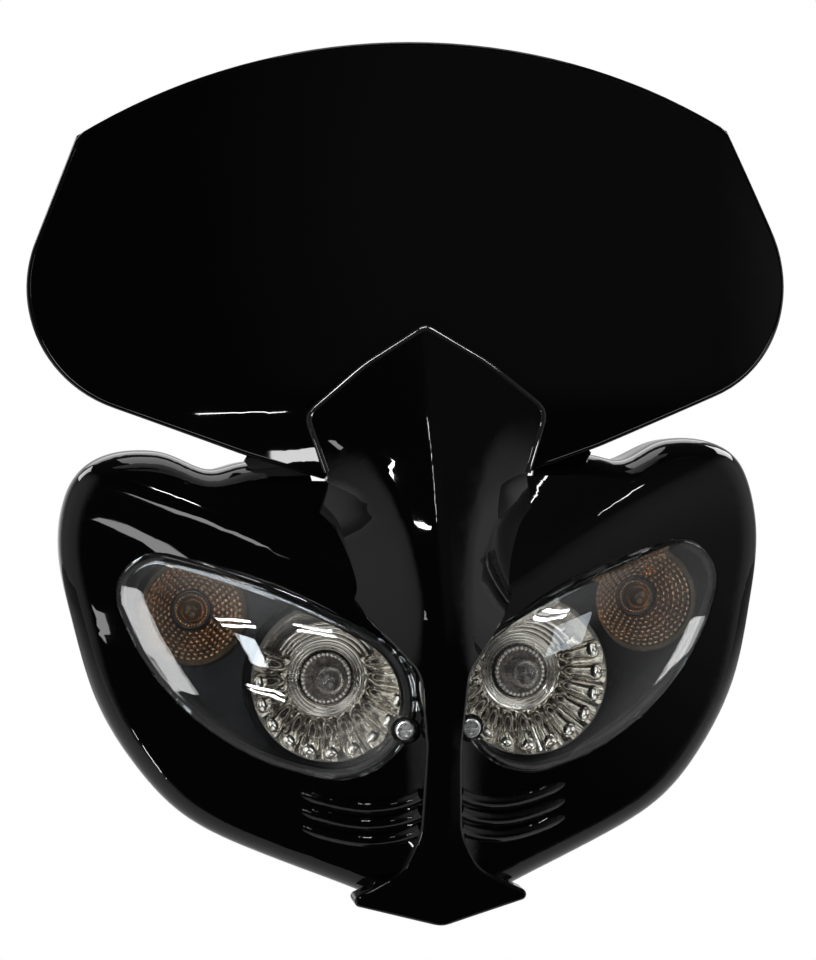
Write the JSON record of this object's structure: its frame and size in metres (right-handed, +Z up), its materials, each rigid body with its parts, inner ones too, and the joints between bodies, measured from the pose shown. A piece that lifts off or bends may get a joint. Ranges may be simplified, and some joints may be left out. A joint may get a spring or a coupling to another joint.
{
  "type": "motorcycle headlight cowl",
  "caption": "Gloss black motorcycle headlight cowl with clear teardrop lenses over fluted reflectors and amber indicator bulbs, a central keel and a curved fly screen.",
  "frame": {"origin": "centre of the rear bosses, on their end faces", "axes": "+X to the right of someone facing the cowl, -Y the way the cowl faces, +Z up"},
  "size_m": [0.303, 0.1481, 0.3432],
  "materials": {
    "cowl": "gloss black",
    "screen": "gloss black",
    "lens": "clear",
    "rubber": "matte",
    "housing": "satin black",
    "reflector": "bright metallised",
    "clear_glass": "clear",
    "amber_glass": "amber",
    "bulb_metal": "satin",
    "holder": "satin",
    "bright_screw": "bright",
    "zinc_screw": "zinc plated",
    "black_screw": "black",
    "brass": "machined"
  },
  "bodies": {
    "root": {"cowl_shell": "cowl", "fly_screen": "screen", "lens_right": "lens", "lens_left": "lens", "lens_seal_right": "rubber", "lens_seal_left": "rubber", "lamp_housing_right": "housing", "lamp_housing_left": "housing", "main_reflector_right": "reflector", "main_reflector_left": "reflector", "headlight_bulb_right": "clear_glass", "headlight_bulb_left": "clear_glass", "headlight_bulb_base_right": "bulb_metal", "headlight_bulb_base_left": "bulb_metal", "bulb_boot_right": "rubber", "bulb_boot_left": "rubber", "indicator_reflector_right": "reflector", "indicator_reflector_left": "reflector", "indicator_bulb_right": "amber_glass", "indicator_bulb_left": "amber_glass", "indicator_bulb_holder_right": "holder", "indicator_bulb_holder_left": "holder", "lens_screws": "bright_screw", "housing_screws": "zinc_screw", "screen_screws": "black_screw", "screen_washers": "zinc_screw", "mounting_inserts": "brass"}
  },
  "joints": []
}
